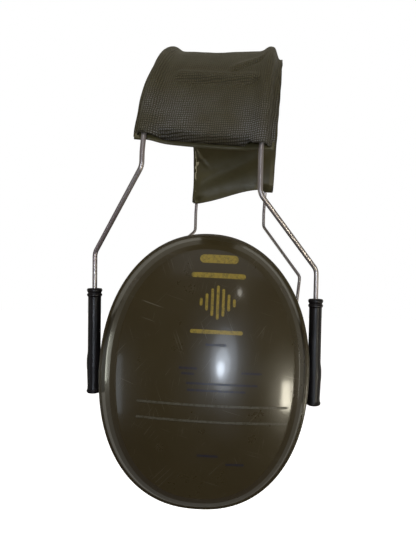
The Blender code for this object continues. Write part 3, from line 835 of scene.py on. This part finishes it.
def add_cover(finishes):
    """The cover is one skin, one lining and one foam pad over the whole arch.

    Each row is its name, shape, finish, half width, the degrees trimmed from its hems, its
    thickness, and whether its drawn surface is its outer one."""
    plan = (
        ("cover_skin", skin_place, "embossed_vinyl", COVER_HALF_WIDTH, skin_trim, 0.75 * MM, True),
        ("cover_lining", lining_place, "smooth_vinyl", 28.1, lambda x, degrees: 0.0, 0.6 * MM, False),
        ("pad_foam", foam_place, "band_foam", 24.3, lambda x, degrees: 7.0, 1.0 * MM, True),
    )
    for part, place, slot, half_width, trim, thickness, outwards in plan:
        piece = arched_sheet(part, place, finishes[slot], half_width, trim, thickness, outwards)
        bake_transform(piece)
        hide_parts(f"left_{part}", f"right_{part}")


# ---------------------------------------------------------------- guide tubes

def leg_to_world(side, wire):
    """Puts a body turned about z, with z = 0 at the pivot's height, onto its leaning leg."""
    slide = -WIRES[wire] * TUBE_CREEP[side]
    y = SIDES[side] * (PIVOT_Y + slide * math.tan(LEG_LEAN))
    place = Matrix.Translation((WIRES[wire] * WIRE_LOWER_X, y, CUP_CENTRE_Z + slide))
    return below_bends(side) @ place @ Matrix.Rotation(-SIDES[side] * LEG_LEAN, 4, "X")


def tube_top():
    return (TUBE_TOP_Z - CUP_CENTRE_Z) / math.cos(LEG_LEAN)


def add_guide_tube(side, wire, finishes):
    """A slim tube with a two-bead collar, a soft swelling at its pivot and a lipped foot."""
    top = tube_top() / MM
    foot = top - TUBE_LENGTH / MM
    bore, throat = TUBE_BORE_RADIUS / MM, COLLAR_BORE_RADIUS / MM
    drawn = [
        (throat, top - 0.5), (throat + 0.25, top), (2.85, top), (3.15, top - 0.55), (3.12, top - 1.15),
        (2.72, top - 1.75), (2.76, top - 2.1), (3.1, top - 2.45), (3.06, top - 3.05), (2.66, top - 3.55),
        (2.65, top - 6.0), (2.65, -3.0), (2.65, foot + 3.0), (2.72, foot + 1.7), (3.0, foot + 1.0),
        (2.96, foot + 0.35), (2.5, foot), (bore + 0.1, foot), (bore, foot + 0.5), (bore, top - 7.0),
        (throat, top - 7.1),
    ]
    radii = [0.2, 0.2, 0.5, 0.5, 0.35, 0.3, 0.35, 0.4, 0.3, 0, 0, 0, 0.8, 0.5, 0.5, 0.4, 0.1, 0.3, 0, 0]
    path = arc_through([(r, z, 0.0) for r, z in drawn], radii, steps=4)
    bm = lathe([(p.x * MM, p.y * MM) for p in path])
    bmesh.ops.subdivide_edges(
        bm,
        edges=[e for e in bm.edges if abs(e.verts[0].co.z - e.verts[1].co.z) > 8 * MM],
        cuts=24,
        use_grid_fill=True,
    )
    for vert in bm.verts:
        away = vert.co.x * WIRES[wire]
        radius = math.hypot(vert.co.x, vert.co.y)
        if radius > 2.3 * MM:
            swell = math.exp(-(abs(vert.co.z / (3.7 * MM)) ** 4)) * max(0.25, away / radius) * 0.42 * MM
            vert.co.x += swell * vert.co.x / radius
            vert.co.y += swell * vert.co.y / radius * 0.5
    bmesh.ops.transform(bm, matrix=leg_to_world(side, wire), verts=bm.verts)
    piece = make_object(f"{side}_{wire}_tube", bm, finishes["guide_plastic"])
    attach(piece, f"{side}_tubes")
    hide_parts(f"{side}_{wire}_guide_tube")


def add_bush(side, wire, finishes):
    """A nylon sleeve pressed into the collar, with a flared mouth, that grips the wire."""
    top = tube_top() / MM
    drawn = [(1.15, top - 0.9), (1.45, top - 0.35), (2.0, top - 0.4), (2.15, top - 0.7)]
    drawn += [(2.15, top - 6.6), (1.15, top - 6.6)]
    loop = drawn + drawn[:1]
    path = arc_through([(r, z, 0.0) for r, z in loop], [0.2, 0.2, 0.1, 0.1, 0.1], steps=3)[:-1]
    bm = lathe([(p.x * MM, p.y * MM) for p in path], segments=40)
    bmesh.ops.transform(bm, matrix=leg_to_world(side, wire), verts=bm.verts)
    piece = make_object(f"{side}_{wire}_bush", bm, finishes["bush_nylon"])
    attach(piece, f"{side}_tubes")
    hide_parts(f"{side}_{wire}_friction_bush")


def add_pivot(side, wire, finishes):
    """A turned pin with a collar, between the tube and its socket in the inner shell."""
    inner = CUP_HALF_WIDTH + WIRES[wire] * CUP_SHIFT_X[side] - PIN_REACH
    length = (WIRE_LOWER_X - TUBE_RADIUS - inner) / MM
    drawn = [(0.02, 0.0), (0.75, 0.0), (1.0, 0.3), (1.0, length - 1.1), (1.5, length - 0.9)]
    drawn += [(1.5, length - 0.2), (1.0, length - 0.1), (1.0, length), (0.02, length)]
    bm = lathe([(r * MM, z * MM) for r, z in drawn], segments=32)
    pivot = Matrix.Translation((0.0, SIDES[side] * PIVOT_Y, CUP_CENTRE_Z)) @ cup_roll(side)
    lay_down = Matrix.Rotation(WIRES[wire] * math.pi / 2, 4, "Y")
    out_to_flank = Matrix.Translation((WIRES[wire] * inner, 0, 0))
    bmesh.ops.transform(bm, matrix=below_bends(side) @ pivot @ out_to_flank @ lay_down, verts=bm.verts)
    piece = make_object(f"{side}_{wire}_pin", bm, finishes["pin_nylon"])
    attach(piece, f"{side}_tubes")
    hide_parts(f"{side}_{wire}_pivot_pin")


# ---------------------------------------------------------------- cups

def add_cup_piece(side, part, bm, finish):
    bmesh.ops.transform(bm, matrix=cup_to_world(side), verts=bm.verts)
    bmesh.ops.recalc_face_normals(bm, faces=bm.faces)
    piece = make_object(f"{side}_{part}_body", bm, finish)
    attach(piece, f"{side}_cup")
    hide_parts(f"{side}_{part}")
    return piece


def outer_shell():
    """A glossy bowl: a rounded rim bead, a leaning side wall, a soft shoulder and a gently domed face."""
    under = face_stations(11.4, 12.7, 19.8, 8)[::-1]
    lining = insets([(11.4, 12.7), (8.4, 11.0), (6.0, 7.4), (2.8, 0.3), (2.5, 0.0)], [1.5, 2, 0.3])
    outline = [(2.5, 0.0), (0.35, 0.0), (0.0, 0.35), (0.0, 1.25), (0.35, 1.6), (1.05, 1.75), (2.4, 5.0)]
    outline += [(4.2, 9.2), (6.6, 12.6), (9.0, 14.72), (9.4, 14.8)]
    wall = insets(outline, [0.3, 0.3, 0.4, 0.4, 0.5, 0, 1.0, 2.6, 0.25])
    return skew(oval_loft(under + lining + wall[1:-1] + face_from_shoulder()))


def face_from_shoulder(rings=22):
    """The face beyond the rounded shoulder, blended from equal insets to an even shrink."""
    stations = []
    for share in [1.0, 0.994] + [max(1.0 - step / rings, 1e-4) for step in range(1, rings + 1)]:
        width = (CUP_HALF_WIDTH - FACE_INSET) * share
        height = (CUP_HALF_HEIGHT - FACE_INSET) * share
        stations.append((width, height, CUP_DEPTH - (CUP_DEPTH - FACE_EDGE_DEPTH) * share**2))
    return stations


def inner_shell():
    """The second casing: a rim that the cushion plate snaps into, and a shallow bowl behind the face."""
    under = face_stations(15.0, 7.2, 12.2, 6)[::-1]
    inside = [(15.0, 7.2), (10.4, 3.9), (8.2, -1.0), (8.0, -3.6), (3.6, -3.6), (3.6, -8.2), (3.3, -8.6)]
    outside = [(3.3, -8.6), (1.3, -8.6), (0.9, -8.1), (0.9, -2.8), (0.15, -2.3), (0.15, -1.6)]
    outside += [(6.0, -1.6), (8.4, 4.5), (13.5, 9.0)]
    lining = insets(inside, [1, 1, 0.4, 0.8, 0, 0.2])
    wall = insets(outside, [0.2, 0.3, 0.2, 0.3, 0.2, 0.5, 1, 1])
    return oval_loft(under + lining + wall[1:] + face_stations(13.5, 9.0, 14.0, 6), segments=144)


def decal(outline, lift):
    """A thin flat print laid on the domed face: outline is a closed list of (x, y) in the cup's frame."""
    bm = bmesh.new()
    face = bm.faces.new([bm.verts.new((x, y, 0.0)) for x, y in outline])
    bmesh.ops.triangulate(bm, faces=[face])
    for _ in range(3):
        long_edges = [edge for edge in bm.edges if edge.calc_length() > 1.6 * MM]
        bmesh.ops.subdivide_edges(bm, edges=long_edges, cuts=1)
        bmesh.ops.triangulate(bm, faces=bm.faces)
    for vert in bm.verts:
        vert.co.z = face_depth(vert.co.x, vert.co.y) + lift
    return skew(bm)


def bar_outline(x, y, width, height, steps=8):
    """A round-ended bar, lying or standing, as a closed outline."""
    radius = min(width, height) / 2
    half = max(width, height) / 2 - radius
    outline = []
    for centre, first in ((half, -math.pi / 2), (-half, math.pi / 2)):
        for step in range(steps + 1):
            angle = first + math.pi * step / steps
            along, beside = centre + radius * math.cos(angle), radius * math.sin(angle)
            outline.append((x + along, y + beside) if width > height else (x - beside, y + along))
    return outline


def shell_seal():
    return oval_loft(closed_ring([(0.7, -1.35), (0.7, -0.2), (3.4, -0.2), (3.4, -1.35)], 0.3), segments=144)


def foam_liner():
    """A soft moulded bowl that fills the hollow of the cup."""
    floor = face_stations(9.4, 0.9, 0.9, 3)[::-1]
    side_wall = insets([(9.4, 0.9), (10.9, 3.6), (15.6, 6.6)], [1.0])
    return oval_loft(floor + side_wall + face_stations(15.6, 6.6, 11.6, 5), segments=96)


def cushion_plate():
    """The flat ring that carries the cushion, with a rib that snaps into the inner shell."""
    section = [(1.3, -10.3), (1.3, -8.9), (4.0, -8.9), (4.0, -6.2), (5.4, -6.2), (5.4, -8.9)]
    section += [(17.0, -8.9), (17.0, -10.3)]
    return oval_loft(closed_ring(section, 0.25, 3), segments=144)


def add_cup(side, finishes):
    for part, shape, slot in (
        ("outer_shell", outer_shell, "olive_shell"),
        ("inner_shell", inner_shell, "black_case"),
        ("shell_seal", shell_seal, "seal_rubber"),
        ("foam_liner", foam_liner, "absorber_foam"),
        ("cushion_plate", cushion_plate, "plate_plastic"),
    ):
        add_cup_piece(side, part, shape(), finishes[slot])
    add_cushion(side, finishes)


def puff(piece, held):
    """Fills a closed cover with stuffing by a short cloth run: it is pinned where held(point) is true."""
    remesh = piece.modifiers.new("remesh", "REMESH")
    remesh.mode = "VOXEL"
    remesh.voxel_size = STUFFING_GRID
    settle(piece)
    start = [vert.co.copy() for vert in piece.data.vertices]
    pins = piece.vertex_groups.new(name="held")
    pins.add([step for step, point in enumerate(start) if held(point)], 1.0, "REPLACE")
    cloth = piece.modifiers.new("cloth", "CLOTH")
    cloth.settings.use_pressure = True
    cloth.settings.uniform_pressure_force = STUFFING_PRESSURE
    cloth.settings.shrink_min = -SPARE_CLOTH
    cloth.settings.vertex_group_mass = "held"
    cloth.settings.effector_weights.gravity = 0.0
    cloth.point_cache.frame_end = STUFFING_STEPS
    for step in range(1, STUFFING_STEPS + 1):
        bpy.context.scene.frame_set(step)
    settle(piece)
    for vert, first in zip(piece.data.vertices, start):
        moved = vert.co - first
        vert.co = first + moved * min(1.0, CUSHION_MOST_SWELL / max(moved.length, 1e-9))
    bpy.context.scene.frame_set(1)
    smooth = piece.modifiers.new("smooth", "SUBSURF")
    smooth.levels = smooth.render_levels = 1
    settle(piece)
    piece.data.shade_smooth()
    return piece


def add_cushion(side, finishes):
    """A foil-covered foam ring: full outside, flat where it seals, softly puckered at its seams."""
    outline = [(3.6, -10.5), (1.5, -13.2), (1.2, -18.0), (3.0, -22.4), (7.2, -24.3), (15.0, -24.3)]
    outline += [(18.5, -22.4), (19.6, -18.0), (18.6, -13.0), (16.4, -10.5)]
    bm = oval_loft(closed_ring(outline, 4.0, 6), segments=200)
    place = cup_to_world(side)
    bmesh.ops.transform(bm, matrix=place, verts=bm.verts)
    bmesh.ops.recalc_face_normals(bm, faces=bm.faces)
    piece = make_object(f"{side}_ear_cushion_body", bm, finishes["cushion_vinyl"], sharp=180)
    back = place.inverted()
    puff(piece, lambda point: (back @ point).z > CUSHION_SEAM_DEPTH)
    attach(piece, f"{side}_cup")
    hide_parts(f"{side}_ear_cushion")


def mark_plan():
    """Generic marks as (finish, x, y, width, height, lift) bars, in millimetres of the cup's frame."""
    top, middle = 44.0, 3.6
    print_lift, rib_lift = 0.05, 0.16
    plan = [("yellow_ink", 0.0, 0.0, 15.0, 3.4), ("yellow_ink", 0.0, -6.6, 21.0, 2.0)]
    for step, height in enumerate((3.0, 6.5, 10.5, 13.0, 10.5, 6.5, 3.0)):
        plan.append(("yellow_ink", (step - 3) * 2.1, -17.0, 1.05, height))
    plan += [("yellow_ink", 0.0, -28.2, 20.0, 1.5), ("dark_ink", 0.0, -33.0, 8.0, 0.9)]
    dark_rules = ((-10, -42, 7), (-10, -44, 5), (14, -43, 8), (3, -47.5, 27), (1, -50, 22), (-1, -74.5, 8))
    for x, y, width in dark_rules + ((9.5, -77.5, 7.0),):
        plan.append(("dark_ink", x, y, width, 0.8))
    plan += [("rubbed_and_sheen_rib", 0.0, y, 58.0, 0.9) for y in (-55.5, -61.5)]
    return [
        (ink, middle + x, top + y, width, height, rib_lift if ink == "rubbed_and_sheen_rib" else print_lift)
        for ink, x, y, width, height in plan
    ]


def add_print(side, finishes):
    """Plain bars on the outer face: yellow and dark ink, and two raised ribs painted pale, partly rubbed wear
    and partly painted sheen.
    """
    names = {"yellow_ink": "yellow_marks", "dark_ink": "dark_marks", "rubbed_and_sheen_rib": "raised_ribs"}
    for ink, name in names.items():
        bm = bmesh.new()
        for _, x, y, width, height, lift in (bar for bar in mark_plan() if bar[0] == ink):
            mark = decal(bar_outline(x * MM, y * MM, width * MM, height * MM), lift * MM)
            part = bpy.data.meshes.new("mark")
            mark.to_mesh(part)
            mark.free()
            bm.from_mesh(part)
            bpy.data.meshes.remove(part)
        bmesh.ops.transform(bm, matrix=cup_to_world(side), verts=bm.verts)
        bm.normal_update()
        if sum(face.normal.y for face in bm.faces) * SIDES[side] < 0:
            bmesh.ops.reverse_faces(bm, faces=bm.faces)
        piece = make_object(f"{side}_{name}", bm, finishes[ink])
        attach(piece, f"{side}_cup")


# ---------------------------------------------------------------- the scene

def main():
    finishes = {
        "olive_shell": olive_shell_finish(),
        "yellow_ink": ink_finish("yellow_ink", (0.27, 0.195, 0.024), (0.13, 0.098, 0.022)),
        "dark_ink": ink_finish("dark_ink", (0.020, 0.018, 0.030), (0.030, 0.025, 0.020)),
        # The ribs' pale colour is partly rubbed wear and partly a painted sheen, like the light caught by
        # raised lettering.
        "rubbed_and_sheen_rib": ink_finish("rubbed_and_sheen_rib", (0.085, 0.078, 0.055), (0.050, 0.040, 0.020)),
        "black_case": moulded_black("black_case", (0.011, 0.011, 0.011), 0.38),
        "guide_plastic": moulded_black("guide_plastic", (0.0058, 0.0048, 0.0048), 0.42),
        "bush_nylon": moulded_black("bush_nylon", (0.014, 0.014, 0.015), 0.5),
        "pin_nylon": moulded_black("pin_nylon", (0.010, 0.010, 0.010), 0.4),
        "plate_plastic": moulded_black("plate_plastic", (0.012, 0.012, 0.012), 0.45),
        "seal_rubber": moulded_black("seal_rubber", (0.008, 0.008, 0.008), 0.75),
        "steel_wire": steel_wire_finish(),
        "embossed_vinyl": embossed_vinyl_finish(),
        "smooth_vinyl": smooth_vinyl_finish("smooth_vinyl", (0.086, 0.075, 0.032), (0.120, 0.106, 0.050)),
        "cushion_vinyl": smooth_vinyl_finish(
            "cushion_vinyl", (0.010, 0.010, 0.0105), (0.020, 0.020, 0.021), 0.45
        ),
        "band_foam": foam_finish("band_foam", (0.40, 0.34, 0.18), (0.72, 0.66, 0.46)),
        "absorber_foam": foam_finish("absorber_foam", (0.006, 0.006, 0.006), (0.045, 0.045, 0.047)),
    }
    add_camera()
    add_world()
    add_lamps()
    add_floor()
    for wire in WIRES:
        add_wire(wire, finishes["steel_wire"])
    add_cover(finishes)
    for side in SIDES:
        for wire in WIRES:
            add_guide_tube(side, wire, finishes)
            add_bush(side, wire, finishes)
            add_pivot(side, wire, finishes)
        add_cup(side, finishes)
        add_print(side, finishes)


bpy.context.scene.view_settings.view_transform = "Standard"
main()
